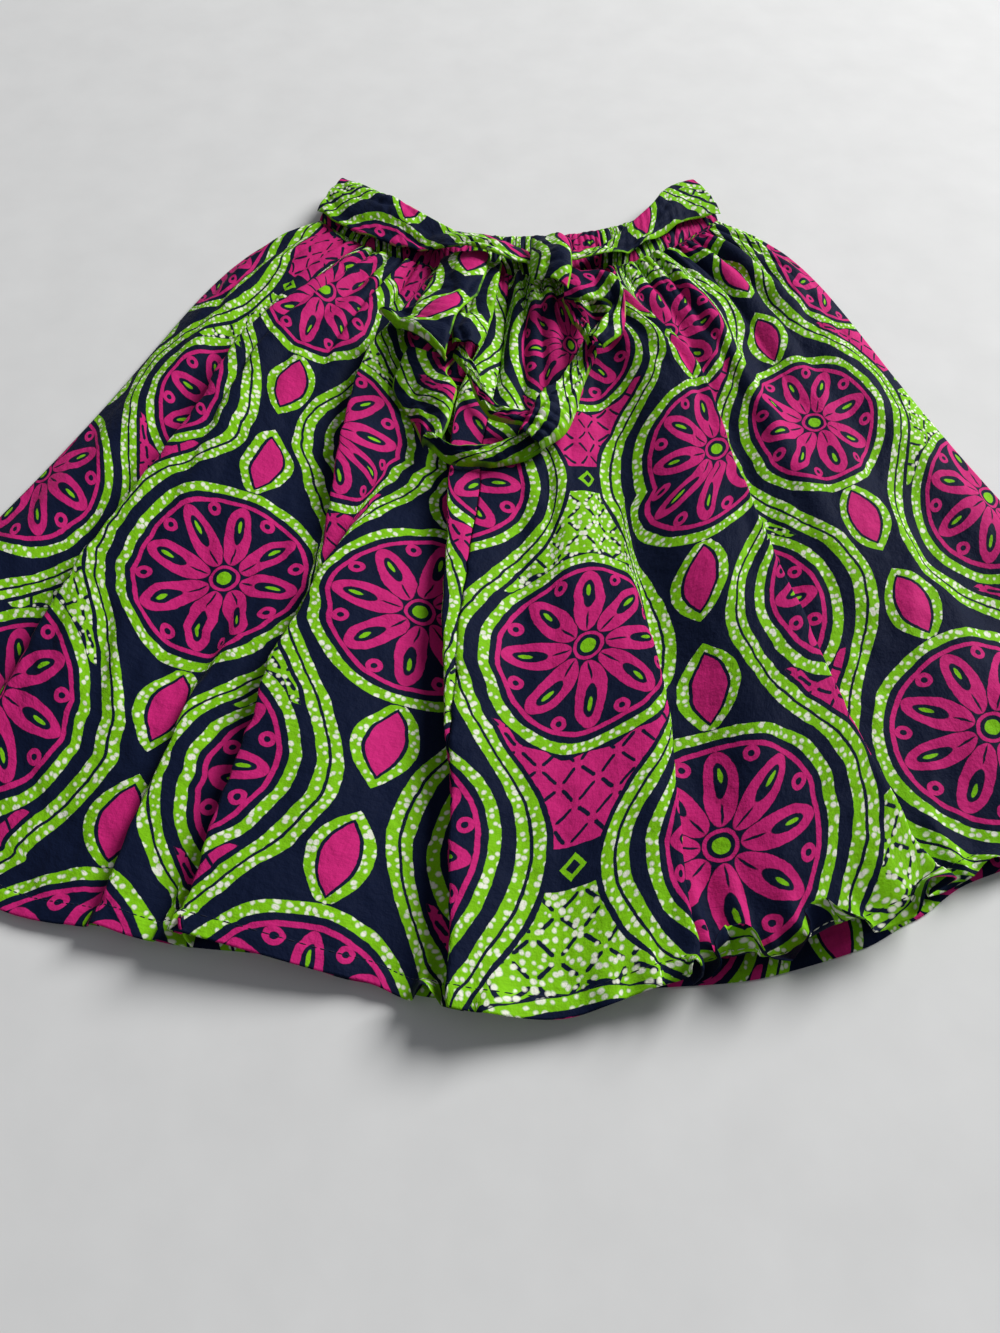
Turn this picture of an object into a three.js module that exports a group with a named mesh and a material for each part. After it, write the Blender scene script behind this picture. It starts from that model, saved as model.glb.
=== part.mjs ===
// A gathered A-line skirt of printed cotton with an elastic waistband and a tie sash, laid flat on its back.
// Millimetres, +Z up. The underside rests on Z = 0, the waist is towards +Y and the hem towards -Y.
import * as THREE from 'three';

// Driving dimensions
const CLOTH = 1.5;              // wall that stands for one layer of cotton
const SASH_CLOTH = 2.0;         // the sash is folded double
const SEAM_GAP = 0.3;           // air left between neighbouring pieces
const WAIST_HALF = 180;         // half of the relaxed waist, laid flat
const WAIST_SHIFT = 17;         // the waist lies a little to the right of the hem's middle
const WAIST_Y = 236;            // middle of the waist seam
const WAIST_SAG = 80;           // how far its middle dips below its ends
const WAIST_SAG_POWER = 2.4;    // it stays low in the middle and turns up towards its ends
const HEM_RADIUS = 648;         // the laid hem is an arc round a point near the waist
const HEM_CENTRE_Y = 267;
const HEM_HALF_ANGLE = THREE.MathUtils.degToRad(43.8);
const HIP_BULGE = 34;           // the gathers push the side edges out just below the waist
const HIP_AT = 0.16;            // share of the length where they push most
const BAND_HEIGHT = 48;         // elastic casing
const BAND_EDGE = 0.75;         // its share of that thickness at its two edges
const BAND_RUCHE = 1.6;         // height of the ruching
const BAND_LIFT = 5;            // its top edge stands a little off the back half
const BAND_STEP = 2;            // the back half ends this much lower
const BAND_TILT = 0.35;         // its ends lean inwards, radians
const BAND_BACK_THICK = 4;
const BAND_FRONT_THICK = 4.2;
const SIDE_ROLL = 7;            // how softly the front rolls down to the back at its side edges
const SEAM_AT_WAIST = -0.05;    // centre-front seam, as a share of the half width
const SEAM_AT_HEM = -0.03;

// Gathers: one row of fine ones at the seam, then fewer and longer ones that run on into the folds.
// Heights are in mm, and reaches are shares of the length.
const GATHERS = 28;
const GATHER_HEIGHT = 4.5;
const GATHER_REACH = 0.13;
const GATHER_UNEVEN = 0.8;      // how far their spacing wanders, radians
const SOFT_FOLDS = 12;
const SOFT_HEIGHT = 4;
const SOFT_FROM = 0.1;
const SOFT_TO = 0.72;
const PUFF_HEM = 1.0;           // air under the front at the hem
const PUFF_WAIST = 3.5;         // and how much more of it there is at the waist
const PUFF_REACH = 0.2;
const FOLD_GROWTH = 0.22;       // share of the length over which a fold comes up
const FOLD_FADE = 0.3;
const FOLD_WAIST_WIDTH = 0.4;   // a fold is this much narrower at the waist
const LEAN_WIDTH = 42;          // mm on each side of a fold that lean with it
const SLOPE_STEP = 1.5;         // mm to each side over which a flank's slope is read
const STEEPEST = 2.2;           // most that a steep flank adds to the upright thickness of the wall

// The large folds of the front, each a ridge from the waist towards the hem. top and hem: place across, from
// -1 at the left side edge to 1 at the right. from and to: where it rises and fades down the length. left and
// right: widths of its two flanks at the hem, mm. lean: how far it falls over to one side.
const FOLDS = [
  { top: -0.90, hem: -0.93, from: 0.00, to: 1.30, height: 6, left: 26, right: 24, lean: -0.2 },
  { top: -0.80, hem: -0.80, from: 0.03, to: 0.90, height: 11, left: 18, right: 60, lean: -1.2 },
  { top: -0.60, hem: -0.60, from: 0.02, to: 0.70, height: 6, left: 28, right: 28, lean: 0.0 },
  { top: -0.42, hem: -0.37, from: 0.08, to: 1.40, height: 12, left: 55, right: 18, lean: 1.2 },
  { top: -0.26, hem: -0.22, from: 0.15, to: 1.40, height: 8, left: 32, right: 14, lean: 0.8 },
  { top: -0.18, hem: -0.12, from: 0.04, to: 1.40, height: 13, left: 30, right: 12, lean: 1.0 },
  { top: 0.00, hem: 0.00, from: 0.30, to: 1.40, height: 6, left: 12, right: 26, lean: -0.4 },
  { top: 0.13, hem: 0.10, from: 0.00, to: 1.20, height: 6, left: 38, right: 38, lean: 0.0 },
  { top: 0.24, hem: 0.19, from: 0.55, to: 1.40, height: 7, left: 18, right: 22, lean: 0.4 },
  { top: 0.33, hem: 0.35, from: 0.00, to: 1.40, height: 6, left: 20, right: 22, lean: 0.3 },
  { top: 0.49, hem: 0.485, from: 0.02, to: 1.40, height: 13, left: 60, right: 18, lean: 1.3 },
  { top: 0.63, hem: 0.63, from: 0.00, to: 0.75, height: 6, left: 26, right: 26, lean: 0.0 },
  { top: 0.75, hem: 0.72, from: 0.30, to: 1.40, height: 7, left: 42, right: 30, lean: 0.3 },
  { top: 0.90, hem: 0.93, from: 0.00, to: 1.30, height: 6, left: 24, right: 26, lean: 0.2 },
];

// Short flutes that only the hem has: place across, height and half width in mm.
const FLUTES = [
  { at: -0.31, height: 5, width: 9 },
  { at: 0.165, height: 6, width: 8 },
  { at: 0.235, height: 7, width: 8 },
  { at: 0.295, height: 5, width: 7 },
  { at: 0.42, height: 6, width: 9 },
  { at: 0.56, height: 5, width: 10 },
];
const FLUTES_FROM = 0.86;

// How far the hem runs past its arc: place across, front, back, mm.
const HEM_LINE = [
  { at: -1.00, front: 0, back: -2 },
  { at: -0.60, front: 9, back: 4 },
  { at: -0.42, front: -5, back: -9 },
  { at: -0.28, front: -13, back: -16 },
  { at: -0.11, front: 1, back: -4 },
  { at: 0.03, front: 9, back: 2 },
  { at: 0.15, front: -5, back: -8 },
  { at: 0.31, front: 4, back: -2 },
  { at: 0.42, front: -2, back: 0 },
  { at: 0.49, front: -9, back: 1 },
  { at: 0.57, front: -2, back: -6 },
  { at: 0.64, front: 6, back: -2 },
  { at: 1.00, front: 0, back: -2 },
];

// The sash, stretch by stretch, in the order in which they lie on each other. Each row is a section across a
// strip, from its edge a to its edge b, with how far each edge is lifted over what is under it.
const STRETCHES = {
  tail_left: [
    { ax: -57, ay: 22, aLift: 0, bx: -47, by: 16, bLift: 0 },
    { ax: -66, ay: 50, aLift: 0, bx: -39, by: 38, bLift: 0 },
    { ax: -74, ay: 64, aLift: 0, bx: -35, by: 58, bLift: 1 },
    { ax: -83, ay: 82, aLift: 0, bx: -33, by: 75, bLift: 3 },
    { ax: -79, ay: 105, aLift: 1, bx: -41, by: 94, bLift: 4 },
    { ax: -74, ay: 127, aLift: 0, bx: -30, by: 121, bLift: 2 },
  ],
  tail_turn: [
    { ax: 18, ay: 35, aLift: 3, bx: 31, by: 17, bLift: 0 },
    { ax: 6, ay: 22, aLift: 6, bx: 15, by: 6, bLift: 0 },
    { ax: -14, ay: 10, aLift: 7, bx: -9, by: -1, bLift: 0 },
    { ax: -35, ay: 9, aLift: 6, bx: -35, by: -1, bLift: 0 },
    { ax: -51, ay: 22, aLift: 2, bx: -58, by: 17, bLift: 0 },
  ],
  tail_edge: [
    { ax: -30, ay: 120, aLift: 4, bx: -37, by: 111, bLift: 0 },
    { ax: -19, ay: 95, aLift: 6, bx: -26, by: 87, bLift: 0 },
    { ax: -11, ay: 69, aLift: 7, bx: -16, by: 60, bLift: 0 },
    { ax: 8, ay: 50, aLift: 7, bx: 3, by: 39, bLift: 0 },
    { ax: 28, ay: 52, aLift: 4, bx: 23, by: 34, bLift: 0 },
  ],
  tail_right: [
    { ax: 68, ay: 139, aLift: 1, bx: 77, by: 123, bLift: 0 },
    { ax: 49, ay: 94, aLift: 2, bx: 64, by: 85, bLift: 0 },
    { ax: 32, ay: 67, aLift: 2, bx: 58, by: 56, bLift: 0 },
    { ax: 23, ay: 45, aLift: 1, bx: 48, by: 28, bLift: 0 },
    { ax: 13, ay: 22, aLift: 0, bx: 30, by: 12, bLift: 0 },
  ],
  loop_left_under: [
    { ax: -30, ay: 242, aLift: 0, bx: 2, by: 240, bLift: 0 },
    { ax: -35, ay: 190, aLift: 2, bx: -3, by: 190, bLift: 2 },
    { ax: -37, ay: 159, aLift: 4, bx: -7, by: 160, bLift: 3 },
    { ax: -38, ay: 135, aLift: 4, bx: -10, by: 135, bLift: 2 },
    { ax: -37, ay: 115, aLift: 1, bx: -16, by: 112, bLift: 0 },
  ],
  loop_left: [
    { ax: -50, ay: 246, aLift: 0, bx: -8, by: 240, bLift: 0 },
    { ax: -61, ay: 195, aLift: 3, bx: -17, by: 186, bLift: 2 },
    { ax: -71, ay: 167, aLift: 6, bx: -29, by: 154, bLift: 3 },
    { ax: -81, ay: 158, aLift: 6, bx: -36, by: 124, bLift: 3 },
    { ax: -92, ay: 156, aLift: 3, bx: -41, by: 96, bLift: 1 },
  ],
  loop_right_strand: [
    { ax: 51, ay: 184, aLift: 2, bx: 61, by: 186, bLift: 2 },
    { ax: 58, ay: 161, aLift: 0, bx: 68, by: 165, bLift: 2 },
    { ax: 64, ay: 139, aLift: 0, bx: 71, by: 143, bLift: 2 },
    { ax: 69, ay: 122, aLift: 0, bx: 75, by: 124, bLift: 0 },
  ],
  loop_right: [
    { ax: 54, ay: 231, aLift: 2, bx: 52, by: 176, bLift: 2 },
    { ax: 74, ay: 217, aLift: 6, bx: 70, by: 170, bLift: 3 },
    { ax: 92, ay: 200, aLift: 9, bx: 85, by: 169, bLift: 4 },
    { ax: 99, ay: 177, aLift: 9, bx: 90, by: 163, bLift: 2 },
    { ax: 100, ay: 149, aLift: 7, bx: 82, by: 146, bLift: 1 },
    { ax: 95, ay: 127, aLift: 4, bx: 73, by: 132, bLift: 0 },
    { ax: 80, ay: 110, aLift: 2, bx: 68, by: 123, bLift: 1 },
  ],
};

// The two stretches of the sash that lie over the waistband. s: place across. low and high: its edges, mm
// above the waist seam. tip: how far its upper edge stands up.
const WAIST_STRETCHES = {
  sash_left: [
    { s: -1.00, low: -3, high: 54, tip: 4 },
    { s: -0.84, low: -3, high: 60, tip: 8 },
    { s: -0.66, low: -1, high: 58, tip: 9 },
    { s: -0.42, low: 0, high: 44, tip: 6 },
    { s: -0.18, low: -6, high: 28, tip: 3 },
    { s: 0.10, low: -10, high: 18, tip: 0 },
  ],
  sash_right: [
    { s: 0.20, low: -20, high: 6, tip: 0 },
    { s: 0.40, low: -14, high: 16, tip: 2 },
    { s: 0.55, low: 0, high: 32, tip: 4 },
    { s: 0.70, low: 8, high: 46, tip: 7 },
    { s: 0.85, low: 10, high: 60, tip: 8 },
    { s: 1.00, low: -4, high: 54, tip: 3 },
  ],
};

// The knot's wrap, from behind the upper edge of the sash over its front to where the loops come out.
const KNOT = {
  sash_knot: [
    { ax: 27, ay: 261, aLift: 0, bx: 58, by: 261, bLift: 0 },
    { ax: 26, ay: 237, aLift: 0, bx: 59, by: 236, bLift: 0 },
    { ax: 25, ay: 211, aLift: 3, bx: 59, by: 201, bLift: 3 },
    { ax: 26, ay: 195, aLift: 0, bx: 55, by: 176, bLift: 0 },
  ],
};
const FRONT_ROWS = 16;
const BACK_ROWS = 10;
const STATIONS = 13;            // sections worked out along each stretch
const STRIPS = 4;               // faces across it
const HEIGHT_CELL = 2;          // grid on which the height of the cloth is kept
const PLAN_HALF = 500;          // half of the square that the grid covers
const DRAPE_REACH = 40;         // how far a strip feels what is under it
const DRAPE_FLAT = 8;
const DRAPE_SLOPE = 0.45;

const COLOURS = { panel: 0x141c36, band: 0x5f8a1c, sash: 0xb02c72 };

const mix = THREE.MathUtils.lerp;
const smooth = THREE.MathUtils.smoothstep;

// Reads a table's column at a place between its rows, on a smooth curve through them.
function along(table, column, share) {
  const place = share * (table.length - 1);
  const row = Math.min(Math.floor(place), table.length - 2);
  const at = (n) => table[THREE.MathUtils.clamp(n, 0, table.length - 1)][column];
  const [p0, p1, p2, p3] = [at(row - 1), at(row), at(row + 1), at(row + 2)];
  const u = place - row;
  return p1 + 0.5 * u * (p2 - p0 + u * (2 * p0 - 5 * p1 + 4 * p2 - p3 + u * (3 * (p1 - p2) + p3 - p0)));
}

// Extra length of the hem at a place across, eased between the rows of HEM_LINE.
function hemExtra(s, side) {
  const next = Math.max(1, HEM_LINE.findIndex((row) => row.at >= s));
  const [a, b] = [HEM_LINE[next - 1], HEM_LINE[next]];
  return mix(a[side], b[side], smooth(s, a.at, b.at));
}

// Plan of the laid skirt: s runs from -1 to 1 across, t from 0 at the waist seam to 1 at the hem.
function fan(s, t, side) {
  const angle = HEM_HALF_ANGLE * s;
  const reach = HEM_RADIUS + hemExtra(s, side);
  const hem = [reach * Math.sin(angle), HEM_CENTRE_Y - reach * Math.cos(angle)];
  const bulge = HIP_BULGE * s * Math.abs(s) * (t / HIP_AT) * Math.exp(1 - t / HIP_AT);
  return [
    mix(WAIST_SHIFT + WAIST_HALF * s, hem[0], t) + bulge,
    mix(WAIST_Y + WAIST_SAG * Math.abs(s) ** WAIST_SAG_POWER, hem[1], t),
  ];
}

// Length across the plan for one unit of s.
const spread = (t) => mix(WAIST_HALF, HEM_RADIUS * HEM_HALF_ANGLE, t);

// Height of one ridge with two different flanks, 1 at its crest.
function ridge(distance, left, right) {
  const width = distance < 0 ? left : right;
  return Math.exp(-((distance / width) ** 2));
}

// How strongly a fold stands at a place, from 0 to 1.
function foldAt(fold, s, t) {
  const grow = smooth(t, fold.from - 0.02, fold.from + FOLD_GROWTH);
  const fade = 1 - smooth(t, fold.to - FOLD_FADE, fold.to);
  const scale = mix(FOLD_WAIST_WIDTH, 1, t);
  const distance = (s - mix(fold.top, fold.hem, t)) * spread(t);
  return grow * fade * ridge(distance, fold.left * scale, fold.right * scale);
}

// A row of waves across the skirt, unevenly spaced, from 0 in the troughs to 1 on the crests.
function waves(count, s) {
  return 0.5 + 0.5 * Math.cos(Math.PI * count * s + GATHER_UNEVEN * Math.sin(11 * s));
}

// Height of the inside of the front over the back panel's top.
function rise(s, t) {
  let height = PUFF_HEM + PUFF_WAIST * Math.exp(-t / PUFF_REACH);
  for (const fold of FOLDS) height += fold.height * foldAt(fold, s, t);
  const soft = waves(SOFT_FOLDS, s) * smooth(t, 0, SOFT_FROM);
  height += SOFT_HEIGHT * soft * (1 - smooth(t, SOFT_FROM + 0.2 + 0.15 * Math.sin(9 * s), SOFT_TO));
  const reach = GATHER_REACH * (1 + 0.45 * Math.sin(23 * s));
  height += GATHER_HEIGHT * waves(GATHERS, s) * Math.exp(-((t / reach) ** 2));
  for (const flute of FLUTES) {
    const distance = (s - flute.at) * spread(t);
    height += flute.height * smooth(t, FLUTES_FROM, 1) * ridge(distance, flute.width, flute.width);
  }
  const fromSide = (1 - Math.abs(s)) * spread(t);
  return height * (1 - Math.exp(-fromSide / SIDE_ROLL));
}

// How far each millimetre of height falls over sideways.
function lean(s, t) {
  let sum = 0;
  for (const fold of FOLDS) {
    const distance = (s - mix(fold.top, fold.hem, t)) * spread(t);
    sum += fold.lean * smooth(t, fold.from, fold.from + FOLD_FADE) * ridge(distance, LEAN_WIDTH, LEAN_WIDTH);
  }
  return sum;
}

// A point of the front, on its inside for face 0 and on its outside for face 1. The lean is the same for both
// faces, so the wall keeps its two sides apart wherever it falls over.
function frontPoint(s, t, face) {
  const step = SLOPE_STEP / spread(t);
  const [before, after] = [Math.max(s - step, -1), Math.min(s + step, 1)];
  const slope = (rise(after, t) - rise(before, t)) / ((after - before) * spread(t));
  const height = rise(s, t) + face * CLOTH * Math.min(Math.hypot(1, slope), STEEPEST);
  const [x, y] = fan(s, t, 'front');
  const angle = HEM_HALF_ANGLE * s;
  const fall = lean(s, t) * height;
  return [x + fall * Math.cos(angle), y + fall * Math.sin(angle), CLOTH + SEAM_GAP + height];
}

// Volume inside a closed mesh, negative where its faces point inwards.
function volume(places, index) {
  const at = (n) => new THREE.Vector3().fromArray(places, 3 * index[n]);
  let sum = 0;
  for (let n = 0; n < index.length; n += 3) sum += at(n).dot(at(n + 1).cross(at(n + 2))) / 6;
  return sum;
}

// A closed wall over a grid. point(u, v, face) gives its places, for u and v from 0 to 1 and face 0 or 1.
function wall(name, columns, rows, colour, point) {
  const places = [];
  for (const face of [0, 1]) {
    for (let j = 0; j <= rows; j++) {
      for (let i = 0; i <= columns; i++) places.push(...point(i / columns, j / rows, face));
    }
  }
  const corner = (i, j, face) => (face * (rows + 1) + j) * (columns + 1) + i;
  const index = [];
  const quad = (a, b, c, d) => index.push(a, b, c, a, c, d);
  for (let j = 0; j < rows; j++) {
    for (let i = 0; i < columns; i++) {
      quad(corner(i, j, 0), corner(i + 1, j, 0), corner(i + 1, j + 1, 0), corner(i, j + 1, 0));
      quad(corner(i, j, 1), corner(i, j + 1, 1), corner(i + 1, j + 1, 1), corner(i + 1, j, 1));
    }
  }
  for (let i = 0; i < columns; i++) {
    quad(corner(i + 1, 0, 0), corner(i, 0, 0), corner(i, 0, 1), corner(i + 1, 0, 1));
    quad(corner(i, rows, 0), corner(i + 1, rows, 0), corner(i + 1, rows, 1), corner(i, rows, 1));
  }
  for (let j = 0; j < rows; j++) {
    quad(corner(0, j, 0), corner(0, j + 1, 0), corner(0, j + 1, 1), corner(0, j, 1));
    quad(corner(columns, j + 1, 0), corner(columns, j, 0), corner(columns, j, 1), corner(columns, j + 1, 1));
  }
  if (volume(places, index) < 0) index.reverse();
  const geometry = new THREE.BufferGeometry();
  geometry.setAttribute('position', new THREE.Float32BufferAttribute(places, 3));
  geometry.setIndex(index);
  geometry.computeVertexNormals();
  const material = new THREE.MeshStandardMaterial({ color: colour, roughness: 0.8, metalness: 0 });
  const mesh = new THREE.Mesh(geometry, material);
  mesh.name = name;
  return mesh;
}

// Rows lie closer together at the waist, where the gathers are.
const downLength = (v) => v ** 1.7;

function frontPanel(name, columns, side) {
  return wall(name, columns, FRONT_ROWS, COLOURS.panel, (u, v, face) => {
    const t = downLength(v);
    const seam = mix(SEAM_AT_WAIST, SEAM_AT_HEM, t) + (side * SEAM_GAP) / 2 / spread(t);
    const s = side < 0 ? mix(-1, seam, u) : mix(seam, 1, u);
    return frontPoint(s, t, face);
  });
}

function backPanel() {
  return wall('back', 40, BACK_ROWS, COLOURS.panel, (u, v, face) => {
    const [x, y] = fan(mix(-1, 1, u), downLength(v), 'back');
    return [x, y, face * CLOTH];
  });
}

// A point of the waistband: it stands off the waist seam, tilted inwards at its ends as the seam curves up.
function bandPoint(s, height) {
  const tilt = BAND_TILT * s * Math.abs(s);
  const off = SEAM_GAP + height;
  const [x, y] = fan(s, 0, 'front');
  return [x - off * Math.sin(tilt), y + off * Math.cos(tilt)];
}

function bandBack() {
  return wall('waistband_back', 40, 2, COLOURS.band, (u, v, face) => {
    const place = bandPoint(mix(1, -1, 1 - u), (1 - v) * (BAND_HEIGHT - BAND_STEP));
    return [...place, face * BAND_BACK_THICK];
  });
}

function bandFront() {
  return wall('waistband_front', 112, 3, COLOURS.band, (u, v, face) => {
    const s = mix(-1, 1, u);
    const crown = mix(BAND_EDGE, 1, Math.sin(Math.PI * v));
    const top = BAND_FRONT_THICK * crown + BAND_RUCHE * waves(GATHERS, s);
    const lift = BAND_LIFT * (1 - v) * (1 - s ** 4);
    return [...bandPoint(s, (1 - v) * BAND_HEIGHT), BAND_BACK_THICK + SEAM_GAP + lift + face * top];
  });
}

// The highest cloth laid so far, on a grid over the plan. A strip that is laid later takes its place from it.
class Heights {
  constructor(cell, half) {
    this.cell = cell;
    this.count = Math.ceil((2 * half) / cell);
    this.half = half;
    this.tops = new Float32Array(this.count ** 2);
  }

  column(along) {
    return THREE.MathUtils.clamp(Math.round((along + this.half) / this.cell), 0, this.count - 1);
  }

  add(mesh) {
    const { position } = mesh.geometry.attributes;
    const index = mesh.geometry.index.array;
    const [a, b, c, point] = Array.from({ length: 4 }, () => new THREE.Vector3());
    for (let n = 0; n < index.length; n += 3) {
      [a, b, c].forEach((corner, k) => corner.fromBufferAttribute(position, index[n + k]));
      const steps = Math.ceil(Math.max(a.distanceTo(b), b.distanceTo(c), c.distanceTo(a)) / this.cell) + 1;
      for (let i = 0; i <= steps; i++) {
        for (let j = 0; j <= steps - i; j++) {
          const [p, q] = [i / steps, j / steps];
          point.copy(a).multiplyScalar(1 - p - q).addScaledVector(b, p).addScaledVector(c, q);
          const key = this.column(point.y) * this.count + this.column(point.x);
          this.tops[key] = Math.max(this.tops[key], point.z);
        }
      }
    }
  }

  // Where limp cloth lies at a place: on the highest point close by, or on a slope down from one further off.
  under(x, y) {
    let top = 0;
    for (let dx = -DRAPE_REACH; dx <= DRAPE_REACH; dx += this.cell) {
      for (let dy = -DRAPE_REACH; dy <= DRAPE_REACH; dy += this.cell) {
        const away = Math.max(Math.hypot(dx, dy) - DRAPE_FLAT, 0);
        const here = this.tops[this.column(y + dy) * this.count + this.column(x + dx)];
        top = Math.max(top, here - DRAPE_SLOPE * away);
      }
    }
    return top;
  }
}

// One stretch of the sash: a doubled strip that lies on whatever is under each of its points.
function stretch(name, table, heights) {
  return wall(name, STRIPS, STATIONS, COLOURS.sash, (u, v, face) => {
    const x = mix(along(table, 'ax', v), along(table, 'bx', v), u);
    const y = mix(along(table, 'ay', v), along(table, 'by', v), u);
    const lift = Math.max(mix(along(table, 'aLift', v), along(table, 'bLift', v), u), 0);
    return [x, y, heights.under(x, y) + SEAM_GAP + lift + face * SASH_CLOTH];
  });
}

function waistStretch(name, table, heights) {
  return wall(name, STATIONS, STRIPS, COLOURS.sash, (u, v, face) => {
    const height = mix(along(table, 'high', u), along(table, 'low', u), v);
    const [x, y] = bandPoint(along(table, 's', u), height);
    const under = heights.under(x, y) + SEAM_GAP + along(table, 'tip', u) * (1 - v);
    return [x, y, under + face * SASH_CLOTH];
  });
}

const skirt = new THREE.Group();
skirt.name = 'a_line_skirt';
const laid = [
  backPanel(),
  bandBack(),
  frontPanel('front_left', 54, -1),
  frontPanel('front_right', 60, 1),
  bandFront(),
];
const heights = new Heights(HEIGHT_CELL, PLAN_HALF);
for (const mesh of laid) heights.add(mesh);
for (const [tables, make] of [[STRETCHES, stretch], [WAIST_STRETCHES, waistStretch], [KNOT, stretch]]) {
  for (const [name, table] of Object.entries(tables)) {
    const mesh = make(name, table, heights);
    heights.add(mesh);
    laid.push(mesh);
  }
}
skirt.add(...laid);

export default skirt;
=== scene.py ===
import math

import bpy
import numpy as np
from bpy.props import FloatProperty, FloatVectorProperty, PointerProperty
from bpy.types import Operator, Panel, PropertyGroup
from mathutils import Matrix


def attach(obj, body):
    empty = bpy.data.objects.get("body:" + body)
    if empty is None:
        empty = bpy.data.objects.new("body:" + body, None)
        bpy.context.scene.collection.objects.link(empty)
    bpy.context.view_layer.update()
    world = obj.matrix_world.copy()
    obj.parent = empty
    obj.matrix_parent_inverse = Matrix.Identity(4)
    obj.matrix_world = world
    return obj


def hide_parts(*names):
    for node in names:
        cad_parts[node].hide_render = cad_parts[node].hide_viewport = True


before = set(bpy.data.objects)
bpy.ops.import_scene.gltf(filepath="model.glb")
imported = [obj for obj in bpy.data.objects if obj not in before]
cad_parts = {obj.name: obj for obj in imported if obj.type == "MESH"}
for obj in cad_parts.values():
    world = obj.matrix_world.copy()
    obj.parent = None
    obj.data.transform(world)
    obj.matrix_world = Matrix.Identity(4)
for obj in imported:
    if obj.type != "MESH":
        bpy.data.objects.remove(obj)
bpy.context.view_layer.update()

bl_info = {
    "name": "Printed A-line Skirt",
    "version": (1, 0, 0),
    "blender": (4, 5, 0),
    "location": "View3D > Sidebar > Skirt",
    "description": "A gathered A-line skirt of wax-printed cotton, laid flat with its sash tied in a bow",
    "category": "Object",
}

MM = 0.001

# Plan of the laid skirt, mm and radians, as the frame has it
CLOTH = 1.5                     # wall of the frame's panels
SEAM_GAP = 0.3
WAIST_HALF, WAIST_SHIFT, WAIST_Y = 180, 17, 236
WAIST_SAG, WAIST_SAG_POWER = 80, 2.4
HEM_RADIUS, HEM_CENTRE_Y, HEM_HALF_ANGLE = 648, 267, math.radians(43.8)
HIP_BULGE, HIP_AT = 34, 0.16
BAND_HEIGHT, BAND_LIFT, BAND_STEP, BAND_TILT = 48, 5, 2, 0.35
BAND_BACK_THICK, BAND_FRONT_THICK, BAND_EDGE = 4, 4.2, 0.75
SIDE_ROLL = 7
SEAM_AT_WAIST, SEAM_AT_HEM = -0.05, -0.03
LENGTH = 640                    # from the waist seam to the hem

# Gathers and air under the front, mm and shares of the length
GATHERS, GATHER_HEIGHT, GATHER_REACH, GATHER_UNEVEN = 28, 4.6, 0.17, 0.8
FINE_GATHERS, FINE_HEIGHT = 56, 4.4
LONG_GATHERS, LONG_HEIGHT = 30, 5.8
RANDOM_GATHERS = 97             # after this many, the random heights and lengths repeat
SOFT_FOLDS, SOFT_HEIGHT, SOFT_FROM, SOFT_TO = 12, 2.4, 0.1, 0.72
PUFF_HEM, PUFF_WAIST, PUFF_REACH = 1.0, 3.5, 0.2
FOLD_GROWTH, FOLD_FADE, FOLD_WAIST_WIDTH, LEAN_WIDTH = 0.22, 0.3, 0.4, 42
SLOPE_STEP, STEEPEST_WALL = 1.5, 2.2
TUCK_HEIGHT, TUCK_REACH = 5.5, 0.012    # where the front runs in under the waistband

# Sewing, mm
HEM_TURN, HEM_STEP, HEM_DENT = 13, 0.5, 0.5
SEAM_GROOVE, SEAM_PUCKER, SEAM_PUCKER_PITCH = 1.8, 0.7, 8
STITCH_PITCH, STITCH_LENGTH, STITCH_WIDTH = 3.4, 2.3, 0.32
THREADS = (("navy_thread", (0.006, 0.009, 0.03)), ("pale_thread", (0.55, 0.57, 0.45)))
THREAD_GRAIN = (3000, 0.00005)  # how fine it is, per m, and its height, m
INSIDE_OUT = 1.4                # where the hem curls past this, in radians, the pale thread shows

# The large folds of the front, each a ridge from the waist towards the hem. top and hem: place across, from
# -1 to 1. start and end: where it rises and fades. left and right: widths of its flanks at the hem, mm.
FOLD_COLUMNS = ("top", "hem", "start", "end", "height", "left", "right", "lean")
FOLDS = (
    (-0.90, -0.93, 0.00, 1.30, 6, 26, 24, -0.2),
    (-0.70, -0.735, 0.02, 0.95, 14, 15, 55, -1.2),
    (-0.58, -0.58, 0.02, 0.70, 5, 28, 28, 0.0),
    (-0.51, -0.44, 0.55, 1.30, 8, 11, 34, -1.0),
    (-0.376, -0.30, 0.00, 0.66, 14, 13, 30, -1.2),
    (-0.265, -0.27, 0.40, 1.40, 17, 14, 42, -1.2),
    (-0.13, -0.003, 0.08, 1.40, 16, 10, 30, -1.2),
    (0.06, 0.05, 0.10, 0.90, 4, 14, 18, 0.3),
    (0.13, 0.12, 0.00, 1.20, 6, 38, 38, 0.0),
    (0.29, 0.165, 0.45, 1.40, 9, 34, 8, 1.2),
    (0.33, 0.33, 0.00, 1.40, 6, 20, 22, 0.3),
    (0.41, 0.465, 0.02, 1.40, 16, 58, 15, 1.2),
    (0.63, 0.63, 0.00, 0.75, 6, 26, 26, 0.0),
    (0.75, 0.72, 0.30, 1.40, 8, 42, 26, 0.6),
    (0.90, 0.93, 0.00, 1.30, 6, 24, 26, 0.2),
)
FOLDS = [dict(zip(FOLD_COLUMNS, row)) for row in FOLDS]

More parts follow.
